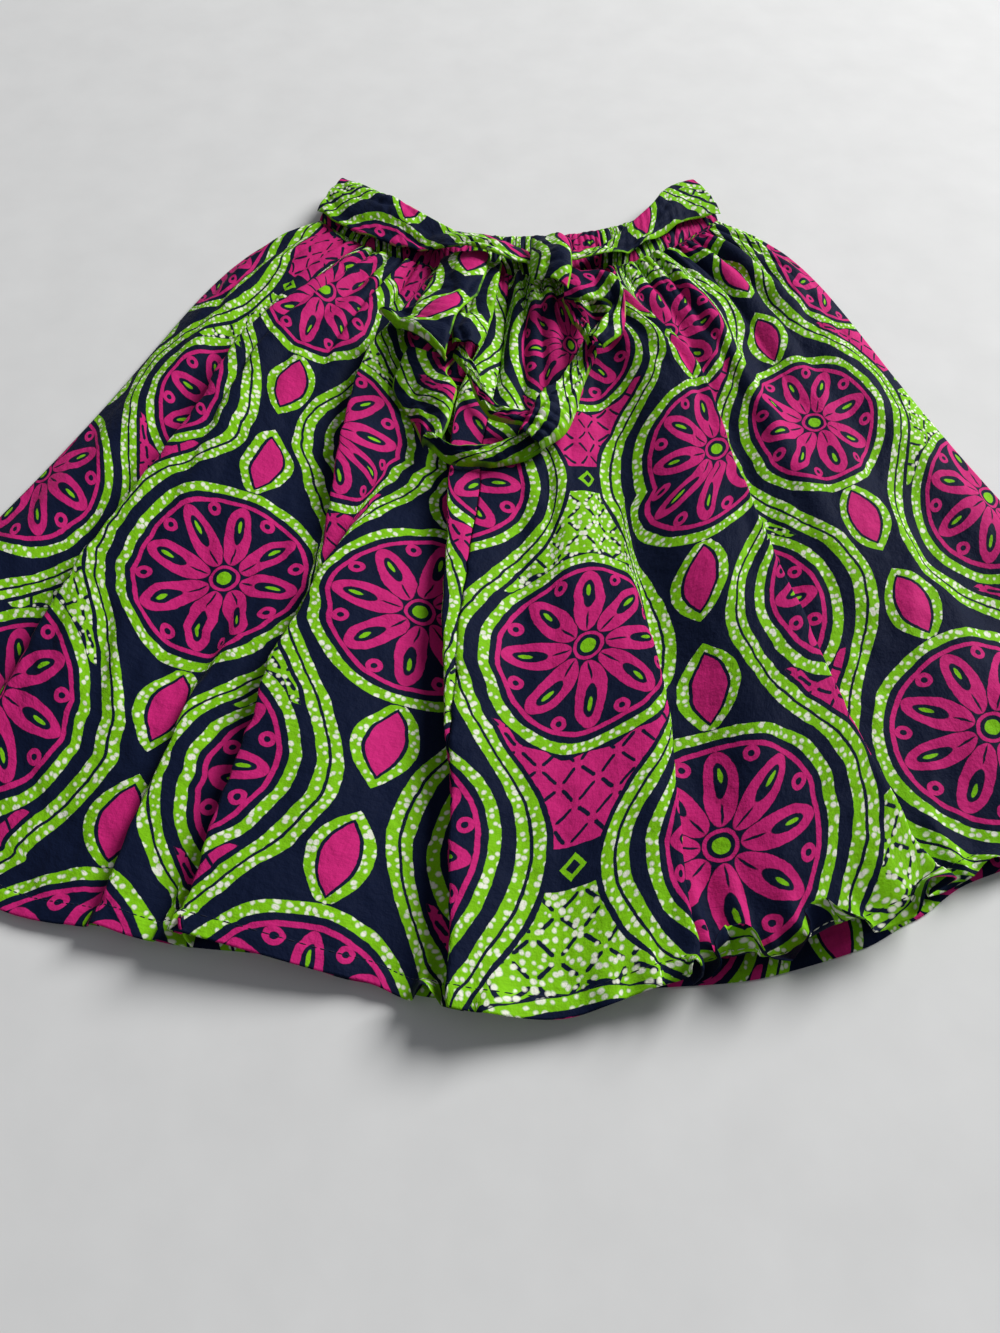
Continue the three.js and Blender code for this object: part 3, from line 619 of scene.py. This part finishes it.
def wax_print():
    """The print, in place on the flat cloth: magenta petal rosettes in lime ogee frames on a navy ground."""
    name = "wax_print"
    if name in bpy.data.node_groups:
        return bpy.data.node_groups[name]
    tree, given, result = new_group(
        name,
        [("Cloth place", "NodeSocketVector", None), ("Navy", "NodeSocketColor", (0.0, 0.0, 0.0, 1)),
         ("Magenta", "NodeSocketColor", (0.5, 0.0, 0.2, 1)), ("Lime", "NodeSocketColor", (0.2, 0.5, 0.0, 1)),
         ("White", "NodeSocketColor", (0.8, 0.8, 0.8, 1))],
        [("Colour", "NodeSocketColor")],
    )
    flat = vector_math(tree, "SCALE", given["Cloth place"], 1 / MM)
    for size, scale in WAVERS:
        shake = vector_math(tree, "SUBTRACT", noise(tree, flat, scale).outputs["Color"], (0.5, 0.5, 0.5))
        flat = vector_math(tree, "ADD", flat, vector_math(tree, "SCALE", shake, size))
    parts = add_node(tree, "ShaderNodeSeparateXYZ")
    plug(tree, flat, parts.inputs[0])
    u, v = Wire(tree, parts.outputs[0]), Wire(tree, parts.outputs[1])

    # Which frame a place is in, and where in it
    ax, ay = u.wrap(REPEAT_ACROSS / 2), v.wrap(REPEAT_DOWN / 2)
    bx, by = (u - REPEAT_ACROSS / 2).wrap(REPEAT_ACROSS / 2), (v - REPEAT_DOWN / 2).wrap(REPEAT_DOWN / 2)
    ogee = abs(ax) - OGEE_MIDDLE - (ay * (math.tau / REPEAT_DOWN)).math("COSINE") * OGEE_SWING
    first = ogee.under(0, 0.01)
    x, y = choose(first, ax, bx), choose(first, ay, by)
    line = abs(ogee)
    radius = (x * x + y * y).math("SQRT")
    angle = y.math("ARCTAN2", x)

    # Ends of each frame: leaves in every other one, and ticked fields with a diamond between them in the rest
    leaf = abs(x) + ((abs(y) - LEAF_AT) / LEAF_LONG).math("POWER", 2) * LEAF_WIDE
    core, ring = leaf.under(LEAF_CORE), leaf.between(*LEAF_LINE)
    tick_x, tick_y = x.wrap(TICK_CELL), y.wrap(TICK_CELL)
    odd = (x / (2 * TICK_CELL)).math("ROUND") + (y / (2 * TICK_CELL)).math("ROUND")
    slant = odd.math("FLOORED_MODULO", 2) * 2 - 1
    tick = abs(tick_x * slant + tick_y).under(TICK_HALF_WIDTH, 0.5)
    tick = tick * abs(tick_x).under(TICK_HALF_LENGTH) * abs(tick_y).under(TICK_HALF_LENGTH)
    field = abs(y).over(FIELD_FROM) * line.over(LINE_GROUND)
    lime_field = field * y.over(0) * abs(y).under(FIELD_TO)
    second = first * -1 + 1
    colour = dye(lime_field * second, given["Lime"], given["Navy"])
    colour = dye(field * y.under(0) * second, given["Magenta"], colour)
    colour = dye(field * tick * second, given["Navy"], colour)
    neck = abs(x) - abs(y) + REPEAT_DOWN / 2
    colour = dye(abs(y).over(FIELD_TO) * second, given["Navy"], colour)
    colour = dye(neck.between(*DIAMOND) * second, given["Lime"], colour)
    colour = dye(core * first, given["Magenta"], colour)
    colour = dye(ring * first, given["Lime"], colour)

    # Frames: two lime lines with a navy one between them
    frame_line = line.between(LINE_FROM, LINE_TO)
    colour = dye(line.under(LINE_GROUND), given["Navy"], colour)
    colour = dye(frame_line, given["Lime"], colour)

    # Rosettes: round petals with a drop in each and berries between them, in a scalloped lime ring
    scallop = (angle * (2 * PETALS)).math("COSINE") * SCALLOP
    rim = radius.between(ROSETTE + RIM_FROM, ROSETTE + RIM_TO)
    colour = dye((radius + scallop).under(ROSETTE + ROSETTE_GROUND), given["Navy"], colour)
    colour = dye(rim, given["Lime"], colour)
    for turned, shapes in ((0, PETAL_SHAPES), (0.5, BERRY_SHAPES)):
        off = (angle * (PETALS / math.tau) + turned).wrap(0.5) * (math.tau / PETALS)
        ahead, aside = radius * off.math("COSINE"), radius * off.math("SINE")
        for middle, long, wide, ink in shapes:
            ellipse = ((ahead - middle) / long).math("POWER", 2) + (aside / wide).math("POWER", 2)
            colour = dye(ellipse.under(1, 0.6 / wide) * radius.under(ROSETTE), given[ink], colour)
    colour = dye(radius.between(*BUTTON_LINE), given["Magenta"], colour)
    colour = dye(radius.between(*OUTER_LINE), given["Magenta"], colour)
    colour = dye(radius.under(BUTTON), given["Lime"], colour)

    # White spots that the wax left along the lime
    lime = ring * first
    for mask in (frame_line, lime_field * second):
        lime = lime.math("MAXIMUM", mask)
    lime = lime * (radius.under(ROSETTE + RIM_EDGE) * -1 + 1)
    lime = lime.math("MAXIMUM", rim)
    spots = add_node(tree, "ShaderNodeTexVoronoi", voronoi_dimensions="2D", feature="F1")
    plug(tree, flat, spots.inputs["Vector"])
    spots.inputs["Scale"].default_value = 0.18
    spots.inputs["Randomness"].default_value = 0.85
    size = Wire(tree, noise(tree, flat, 0.09).outputs[0]) * 0.75 - 0.12
    white = (Wire(tree, spots.outputs["Distance"]) - size).under(0, 0.16) * lime
    colour = dye(white, given["White"], colour)
    plug(tree, colour, result["Colour"])
    return tree


# Relief of the weave, m
THREAD_RELIEF, YARN_RELIEF, CREASE_RELIEF = 0.00004, 0.00012, 0.0034


def cotton_weave():
    """Plain weave: threads over and under each other, with uneven yarns and small creases."""
    name = "cotton_weave"
    if name in bpy.data.node_groups:
        return bpy.data.node_groups[name]
    tree, given, result = new_group(
        name,
        [("Cloth place", "NodeSocketVector", None), ("Threads per metre", "NodeSocketFloat", 2600.0),
         ("Crease", "NodeSocketFloat", 1.0)],
        [("Height", "NodeSocketFloat"), ("Fleck", "NodeSocketFloat"), ("Fade", "NodeSocketFloat")],
    )
    flat = given["Cloth place"]
    parts = add_node(tree, "ShaderNodeSeparateXYZ")
    plug(tree, flat, parts.inputs[0])
    per_metre = Wire(tree, given["Threads per metre"])
    warp = (Wire(tree, parts.outputs[0]) * per_metre * math.pi).math("SINE")
    weft = (Wire(tree, parts.outputs[1]) * per_metre * math.pi).math("SINE")
    threads = warp * weft
    slub, slub_across = (
        Wire(tree, noise(tree, vector_math(tree, "MULTIPLY", flat, stretch), 1.0, 3).outputs[0])
        for stretch in ((900, 60, 1), (60, 900, 1))
    )
    crease = Wire(tree, noise(tree, flat, 70.0, 4, 0.62).outputs[0])
    height = threads * THREAD_RELIEF + (slub + slub_across) * YARN_RELIEF
    height = height + crease * Wire(tree, given["Crease"]) * CREASE_RELIEF
    plug(tree, height, result["Height"])
    plug(tree, (slub + slub_across) * 0.5, result["Fleck"])
    plug(tree, Wire(tree, noise(tree, flat, 9.0, 3).outputs[0]), result["Fade"])
    return tree


def new_material(name):
    """A material with its nodes and its shader."""
    material = bpy.data.materials.new(name)
    material.use_nodes = True
    return material, material.node_tree, material.node_tree.nodes["Principled BSDF"]


def add_bump(tree, shader, height, distance, strength=1.0):
    bump = add_node(tree, "ShaderNodeBump")
    bump.inputs["Strength"].default_value = strength
    bump.inputs["Distance"].default_value = distance
    plug(tree, height, bump.inputs["Height"])
    tree.links.new(bump.outputs[0], shader.inputs["Normal"])


def printed_cotton(name, settings, crease, edge_wear):
    """Soft printed cotton. Its colour, thread unevenness and creases are read on the flat cloth."""
    if name in bpy.data.materials:
        return bpy.data.materials[name]
    material, tree, shader = new_material(name)
    place = add_node(tree, "ShaderNodeUVMap", uv_map="Cloth").outputs[0]
    pattern = add_node(tree, "ShaderNodeGroup", node_tree=wax_print())
    weave = add_node(tree, "ShaderNodeGroup", node_tree=cotton_weave())
    for group in (pattern, weave):
        tree.links.new(place, group.inputs["Cloth place"])
    for socket in ("Navy", "Magenta", "Lime", "White"):
        pattern.inputs[socket].default_value = (*getattr(settings, socket.lower()), 1)
    weave.inputs["Crease"].default_value = crease
    colour = pattern.outputs["Colour"]
    if edge_wear:
        attribute = add_node(tree, "ShaderNodeAttribute", attribute_name="from_edge")
        patches = Wire(tree, noise(tree, place, 45.0).outputs[0]).over(0.5, 0.15)
        rubbed = Wire(tree, attribute.outputs["Fac"]).under(edge_wear, 0.5) * patches
        colour = dye(rubbed, pattern.inputs["Lime"].default_value, colour)
    fleck = (Wire(tree, weave.outputs["Fleck"]) - 0.5) * 0.5
    fade = (Wire(tree, weave.outputs["Fade"]) - 0.5) * 0.3
    tone = vector_math(tree, "SCALE", colour, fleck + fade + 1.0)
    plug(tree, tone, shader.inputs["Base Color"])
    plug(tree, fleck * 0.2 + 0.62, shader.inputs["Roughness"])
    shader.inputs["Specular IOR Level"].default_value = 0.04
    shader.inputs["Sheen Weight"].default_value = 0.02
    shader.inputs["Sheen Roughness"].default_value = 0.45
    add_bump(tree, shader, weave.outputs["Height"], 1.0, 0.6)
    return material


def plain(name, colour, roughness, bump_scale, bump_height):
    """An even finish with a fine grain, for thread and for the floor."""
    material, tree, shader = new_material(name)
    place = add_node(tree, "ShaderNodeTexCoord").outputs["Object"]
    grain = Wire(tree, noise(tree, place, bump_scale, 3).outputs[0])
    plug(tree, vector_math(tree, "SCALE", colour, grain * 0.12 + 0.94), shader.inputs["Base Color"])
    shader.inputs["Roughness"].default_value = roughness
    add_bump(tree, shader, grain, bump_height)
    return material


# ---- settings ----

class SkirtSettings(PropertyGroup):
    """Cloth and dyes of the skirt."""

    cloth: FloatProperty(
        name="Cloth thickness", description="Thickness of one layer of cotton",
        default=0.0006, min=0.0003, max=0.0015, unit="LENGTH",
    )
    sash_cloth: FloatProperty(
        name="Sash thickness", description="Thickness of the doubled sash",
        default=0.0016, min=0.0008, max=0.003, unit="LENGTH",
    )
    navy: FloatVectorProperty(
        name="Navy", description="Dye of the ground", default=(0.0045, 0.0085, 0.028), min=0, max=1,
        subtype="COLOR",
    )
    magenta: FloatVectorProperty(
        name="Magenta", description="Dye of the rosettes", default=(0.55, 0.018, 0.165), min=0, max=1,
        subtype="COLOR",
    )
    lime: FloatVectorProperty(
        name="Lime", description="Dye of the frames", default=(0.20, 0.52, 0.008), min=0, max=1,
        subtype="COLOR",
    )
    white: FloatVectorProperty(
        name="White", description="Undyed spots", default=(0.78, 0.80, 0.66), min=0, max=1, subtype="COLOR",
    )


class StageSettings(PropertyGroup):
    """Floor and studio light."""

    floor: FloatVectorProperty(
        name="Floor", description="Colour of the floor", default=(0.74, 0.74, 0.73), min=0, max=1,
        subtype="COLOR",
    )
    key: FloatProperty(
        name="Key light", description="Power of the large soft light", default=575, min=0, unit="POWER",
    )
    fill: FloatProperty(
        name="Fill light", description="Power of the light from the front", default=1.2, min=0, unit="POWER",
    )


# ---- operators ----

class SKIRT_OT_back(Operator):
    """Make the back panel, which lies flat on the floor"""

    bl_idname = "skirt.back"
    bl_label = "Back Panel"

    def execute(self, context):
        settings = context.scene.skirt_settings
        u, t = grid(160, 90)
        s = 2 * u - 1
        x, y = fan(s, t, 2)
        lift = 0.25 * ripples(s * spread(t) / 30, t * 6, 41) * smooth(t, 0, 0.1)
        top = np.stack([x, y, CLOTH - 0.3 + lift], -1)
        low = np.stack([x, y, np.zeros_like(x)], -1)
        flat = np.stack([s * PRINT_HALF, (1 - t) * LENGTH + 90], -1)
        piece = shell("back_cloth", top, low, flat)
        finish_cloth(piece, "back", printed_cotton("wax_print_panel", settings, 1.0, 0))
        return {"FINISHED"}


class SKIRT_OT_fronts(Operator):
    """Make the two gathered halves of the front"""

    bl_idname = "skirt.fronts"
    bl_label = "Front Halves"

    def execute(self, context):
        settings = context.scene.skirt_settings
        material = printed_cotton("wax_print_panel", settings, 1.0, 0)
        for side, name, across, down in ((-1, "front_left", 95, 40), (1, "front_right", 30, 215)):
            u, t = grid(256, 184, 0.55)
            seam = mix(SEAM_AT_WAIST, SEAM_AT_HEM, t) + side * SEAM_GAP / 2 / spread(t)
            s = mix(seam, side, u)
            outer, inner = (front_points(s, t, layer, settings.cloth / MM) for layer in (0, 1))
            flat = printed_place(outer, s, t)
            flat[..., 0] = flat[..., 0] * side + across
            flat[..., 1] += down
            piece = shell(name + "_cloth", outer, inner, flat)
            finish_cloth(piece, name, material)
        return {"FINISHED"}


class SKIRT_OT_stitches(Operator):
    """Sew the line of stitches that holds the turned hem"""

    bl_idname = "skirt.stitches"
    bl_label = "Hem Stitches"

    def execute(self, context):
        threads = [plain(name, colour, 0.6, *THREAD_GRAIN) for name, colour in THREADS]
        down = 1 - (HEM_TURN - 0.5) / LENGTH
        for side, name in ((-1, "hem_stitches_left"), (1, "hem_stitches_right")):
            reach = 0.995 - side * SEAM_AT_HEM
            count = int(reach * spread(down) / STITCH_PITCH)
            s = SEAM_AT_HEM + side * reach * (np.arange(count)[None, :] + 0.6) / count
            ends = [front_points(s + shift / spread(down), s * 0 + down, 0, 0)[0]
                    for shift in (-STITCH_LENGTH / 2, STITCH_LENGTH / 2)]
            run = ends[1] - ends[0]
            wide = np.cross((0, 0, 1), run)
            wide *= STITCH_WIDTH / np.linalg.norm(wide, axis=1)[:, None]
            tall = np.array((0, 0, STITCH_WIDTH))
            rings = [ends[0] + run * share + (0, 0, 0.06 + 0.1 * half) + side_step * half
                     for share, half in ((0, 0.25), (0.25, 1), (0.75, 1), (1, 0.25))
                     for side_step in (wide, tall, -wide, -tall)]
            places = np.stack(rings, 1).reshape(-1, 3)
            sides = [(4 * r + k, 4 * r + (k + 1) % 4, 4 * r + 4 + (k + 1) % 4, 4 * r + 4 + k)
                     for r in range(3) for k in range(4)]
            one = np.array(sides + [(3, 2, 1, 0), (12, 13, 14, 15)])
            faces = (one[None] + 16 * np.arange(count)[:, None, None]).reshape(-1, 4)
            mesh = bpy.data.meshes.new(name)
            mesh.from_pydata((places * MM).tolist(), [], faces.tolist())
            for thread in threads:
                mesh.materials.append(thread)
            pale = np.repeat(curl(s[0]) > INSIDE_OUT, len(one)).astype(np.int32)
            mesh.polygons.foreach_set("material_index", pale)
            mesh.validate()
            piece = bpy.data.objects.new(name, mesh)
            context.scene.collection.objects.link(piece)
            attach(piece, "root")
        return {"FINISHED"}


class SKIRT_OT_waistband(Operator):
    """Make the ruched elastic casing, front and back"""

    bl_idname = "skirt.waistband"
    bl_label = "Waistband"

    def execute(self, context):
        material = printed_cotton("wax_print_band", context.scene.skirt_settings, 1.0, 0)
        u, v = grid(520, 16)
        s = 2 * u - 1
        across = s * WAIST_HALF
        wander = 0.8 * ripples(across / 12 + 50, v * 3.2, 51)
        ruche = np.abs(np.sin(across * math.pi / RUCHE_PITCH + wander * 2)) ** 0.8
        ruche *= 0.75 + 0.35 * ripples(across / 17, v * 5 + 9, 52)
        ruche *= 0.25 + 0.75 * np.sin(math.pi * v) ** 0.4
        height = mix(BAND_HEIGHT, -1.2, v) + 0.8 * ripples(across / 4.2, v * 2, 53)
        crown = mix(BAND_EDGE, 1, np.sin(math.pi * v))
        x, y = band_place(s, height)
        low = BAND_BACK_THICK + SEAM_GAP + BAND_LIFT * (1 - v) * (1 - s ** 4)
        inset = 1 - (2 * v - 1) ** 8
        top = low + mix(1.2, BAND_FRONT_THICK * crown, inset) + RUCHE_FRONT * ruche - 0.3
        outer, inner = np.stack([x, y, top], -1), np.stack([x, y, low + 0.4 * ruche], -1)
        flat = np.stack([across * BAND_STRETCH + 33, height + 120], -1)
        front = shell("waistband_front_cloth", outer, inner, flat)
        finish_cloth(front, "waistband_front", material)

        x, y = band_place(s, mix(BAND_HEIGHT - BAND_STEP, 0.3, v))
        top = BAND_BACK_THICK - 1.7 + RUCHE_BACK * ruche
        outer, inner = np.stack([x, y, top], -1), np.stack([x, y, np.zeros_like(x)], -1)
        flat = np.stack([across * BAND_STRETCH + 180, height + 20], -1)
        back = shell("waistband_back_cloth", outer, inner, flat)
        finish_cloth(back, "waistband_back", material)
        return {"FINISHED"}


class Drape:
    """Height at which limp cloth lies over what has been laid so far."""

    def __init__(self, pieces):
        self.low = np.array(DRAPE_LOW)
        self.count = np.array(DRAPE_CELLS)
        self.tops = np.zeros(self.count)
        for piece in pieces:
            places = np.empty(3 * len(piece.data.vertices))
            piece.data.vertices.foreach_get("co", places)
            self.add(places.reshape(-1, 3) / MM)

    def add(self, points):
        cell = np.round((points[:, :2] - self.low) / DRAPE_CELL).astype(int)
        inside = ((cell >= 0) & (cell < self.count)).all(1)
        np.maximum.at(self.tops, tuple(cell[inside].T), points[inside, 2])

    def cover(self):
        """The slopes that run down from every high point."""
        reach = DRAPE_REACH // DRAPE_CELL
        tall = np.pad(self.tops, reach)
        cover = self.tops.copy()
        for i in range(-reach, reach + 1):
            for j in range(-reach, reach + 1):
                drop = DRAPE_SLOPE * max(math.hypot(i, j) * DRAPE_CELL - DRAPE_FLAT, 0)
                part = tall[reach + i:reach + i + self.count[0], reach + j:reach + j + self.count[1]]
                np.maximum(cover, part - drop, out=cover)
        return cover

    def under(self, cover, x, y):
        place = (np.stack([x, y]) - self.low[:, None, None]) / DRAPE_CELL
        cell = np.clip(np.floor(place).astype(int), 0, self.count[:, None, None] - 2)
        u, v = place - cell
        i, j = cell
        return mix(mix(cover[i, j], cover[i + 1, j], u), mix(cover[i, j + 1], cover[i + 1, j + 1], u), v)


def section(row, u):
    """Plan and lift of a loose stretch at a share u across it."""
    at = dict(zip(SECTION_COLUMNS, np.moveaxis(row, -1, 0)))
    return mix(at["ax"], at["bx"], u), mix(at["ay"], at["by"], u), mix(at["a_lift"], at["b_lift"], u)


def waist_section(row, u):
    """Plan and lift of a stretch over the waistband at a share u down it."""
    at = dict(zip(WAIST_COLUMNS, np.moveaxis(row, -1, 0)))
    x, y = band_place(at["s"] + 0 * u, mix(at["high"], at["low"], u))
    return x, y, at["tip"] * (1 - u) + SASH_HANG * u


def rolled(outer, inner, radius):
    """The same sheet with its last edge rolled under."""
    away = outer[-1] - outer[-4]
    away[:, 2] = 0
    away = away / np.linalg.norm(away, axis=1)[:, None]
    centre, up = inner[-1] - (0, 0, radius), np.array((0, 0, 1))
    turns = np.radians(np.linspace(ROLL_FROM, ROLL_TO, ROLL_STEPS))
    made = []
    for face, size in ((outer, radius + ROLL_WALL), (inner, radius)):
        roll = [centre + away * size * math.sin(turn) + up * size * math.cos(turn) for turn in turns]
        made.append(np.concatenate([face, roll]))
    return made


def edge_share(u):
    """1 inside a strip, falling to 0 at its two edges."""
    return 1 - np.abs(2 * u - 1) ** 10


def creased(low, crease, u, width, run, number):
    """Heights of a stretch with its creases, ruches, crumples and crown laid on, mm."""
    shift = 0.5 * ripples(u * 2, run / 28, 60 + number)
    folds = np.abs(np.sin(math.pi * (crease["creases"] * u + shift + 0.3)))
    height = crease["height"] * (0.6 + 0.4 * ripples(u, run / 22, 70 + number)) * folds
    wander = 0.7 * ripples(u * 1.6 + 5, run / 25, 90 + number)
    crumple = 0.35 * ripples(u * width / 9, run / 7, 80 + number)
    crumple += crease["ruche"] * np.abs(np.sin(math.pi * (run / 11 + wander)))
    crown = crease["crown"] * np.sqrt(np.maximum(1 - (2 * u - 1) ** 2, 0))
    return low + height + crumple * edge_share(u) + crown


class SKIRT_OT_sash(Operator):
    """Make the tied sash, stretch by stretch, each laid over what is under it"""

    bl_idname = "skirt.sash"
    bl_label = "Tied Sash"

    def execute(self, context):
        settings = context.scene.skirt_settings
        fronts, band = ["front_left_cloth", "front_right_cloth"], ["waistband_front_cloth"]
        below = [bpy.data.objects.get(name) for name in fronts + band]
        if None in below:
            raise RuntimeError("the fronts and the waistband come before the sash")
        material = printed_cotton("wax_print_sash", settings, 1.2, SASH_EDGE_WEAR)
        thick = settings.sash_cloth / MM
        drape = Drape(below)
        for tables, place, rests_on in (
            (STRETCHES, section, fronts), (WAIST_STRETCHES, waist_section, band), (KNOT, section, band),
        ):
            for number, (name, rows) in enumerate(tables.items()):
                self.lay(name, rows, place, number, thick, drape, material, rests_on)
        return {"FINISHED"}

    def lay(self, name, rows, place, number, thick, drape, material, rests_on):
        """Lays one stretch over what the drape holds, and adds it to that."""
        crease = dict(zip(CREASE_COLUMNS, CREASES[name]))
        radius = crease["roll"]
        u, v = grid(30, 110)
        x, y, lift = place(along(rows, v[:, 0])[:, None, :], u)
        width = np.hypot(x[:, -1] - x[:, 0], y[:, -1] - y[:, 0])[:, None]
        run = surface_length(np.stack([x, y], -1), 0).mean(1)[:, None]
        low = drape.under(drape.cover(), x, y) + SEAM_GAP + np.maximum(lift, 0)
        low = creased(low, crease, u, width, run, number)
        if radius:
            low = low + 2 * radius * smooth(run, run[-1] - ROLL_REACH, run[-1])
        top = low + thick * mix(0.35, 1, edge_share(u))
        outer, inner = np.stack([x, y, top], -1), np.stack([x, y, low], -1)
        drape.add(outer.reshape(-1, 3))
        flat = np.stack([u * np.maximum(width, 30), run + 0 * u], -1)
        from_edge = np.minimum(u, 1 - u) * width
        if radius:
            outer, inner = rolled(outer, inner, radius)
            more = len(outer) - len(flat)
            flat = np.concatenate([flat, flat[:more]])
            flat[-more:, :, 1] = run[-1] + radius * np.linspace(0.1, 3.6, more)[:, None]
            from_edge = np.concatenate([from_edge, from_edge[:more]])
        if crease["across"]:
            flat = flat[..., ::-1]
        flat = flat + (crease["print_u"], crease["print_v"])
        piece = shell(name + "_cloth", outer, inner, flat, from_edge)
        finish_cloth(piece, name, material)


# Stage: each light's width and place, the air round it, the camera and the floor, m
KEY_LIGHT, FILL_LIGHT = (3.2, (4.4, 3.2, 3.4)), (2.2, (-0.7, -1.2, 1.6))
AIR_COLOUR, AIR_STRENGTH = (0.9, 0.93, 1.0, 1), 0.17
LENS, CAMERA_PLACE, CAMERA_TILT = 27, (0, -0.509, 0.560), math.radians(32)
FLOOR_SIZE, FLOOR_AT, FLOOR_GRAIN = 12, -0.0004, (20, 0.0002)


class SKIRT_OT_stage(Operator):
    """Make the floor, the studio light and the camera"""

    bl_idname = "skirt.stage"
    bl_label = "Floor, Light and Camera"

    def execute(self, context):
        settings = context.scene.skirt_stage
        bpy.ops.object.select_all(action="DESELECT")
        bpy.ops.mesh.primitive_plane_add(size=FLOOR_SIZE, location=(0, 0, FLOOR_AT))
        floor = context.object
        floor.name = "floor"
        bpy.ops.object.transform_apply(location=True, rotation=True, scale=True)
        floor.data.materials.append(plain("pale_floor", tuple(settings.floor), 0.8, *FLOOR_GRAIN))
        for name, power, (size, place) in (
            ("key", settings.key, KEY_LIGHT), ("fill", settings.fill, FILL_LIGHT),
        ):
            light = bpy.data.lights.new(name, "AREA")
            light.shape, light.size, light.energy = "DISK", size, power
            lamp = bpy.data.objects.new(name, light)
            lamp.location = place
            lamp.rotation_euler = (-lamp.location).to_track_quat("-Z", "Y").to_euler()
            context.scene.collection.objects.link(lamp)
        world = bpy.data.worlds.new("studio")
        world.use_nodes = True
        air = world.node_tree.nodes["Background"]
        air.inputs["Color"].default_value = AIR_COLOUR
        air.inputs["Strength"].default_value = AIR_STRENGTH
        context.scene.world = world
        context.scene.view_settings.view_transform = "Standard"
        camera = bpy.data.cameras.new("camera")
        camera.lens, camera.sensor_width, camera.sensor_fit = LENS, 36, "AUTO"
        holder = bpy.data.objects.new("camera", camera)
        holder.location = CAMERA_PLACE
        holder.rotation_euler = (CAMERA_TILT, 0, 0)
        context.scene.collection.objects.link(holder)
        context.scene.camera = holder
        return {"FINISHED"}


OPERATORS = (
    SKIRT_OT_back, SKIRT_OT_stitches, SKIRT_OT_fronts, SKIRT_OT_waistband, SKIRT_OT_sash, SKIRT_OT_stage,
)


class SKIRT_PT_panel(Panel):
    """Settings of the skirt and one button for each group of its pieces"""

    bl_idname = "SKIRT_PT_panel"
    bl_label = "Printed A-line Skirt"
    bl_space_type = "VIEW_3D"
    bl_region_type = "UI"
    bl_category = "Skirt"

    def draw(self, context):
        for settings in (context.scene.skirt_settings, context.scene.skirt_stage):
            for key in settings.bl_rna.properties.keys():
                if key not in ("rna_type", "name"):
                    self.layout.prop(settings, key)
        for operator in OPERATORS:
            self.layout.operator(operator.bl_idname)


CLASSES = (SkirtSettings, StageSettings, *OPERATORS, SKIRT_PT_panel)


def register():
    for cls in CLASSES:
        bpy.utils.register_class(cls)
    bpy.types.Scene.skirt_settings = PointerProperty(type=SkirtSettings)
    bpy.types.Scene.skirt_stage = PointerProperty(type=StageSettings)


def unregister():
    del bpy.types.Scene.skirt_settings
    del bpy.types.Scene.skirt_stage
    for cls in reversed(CLASSES):
        bpy.utils.unregister_class(cls)


def main():
    register()
    bpy.ops.skirt.back()
    bpy.ops.skirt.stitches()
    bpy.ops.skirt.fronts()
    bpy.ops.skirt.waistband()
    bpy.ops.skirt.sash()
    bpy.ops.skirt.stage()


if __name__ == "__main__":
    main()
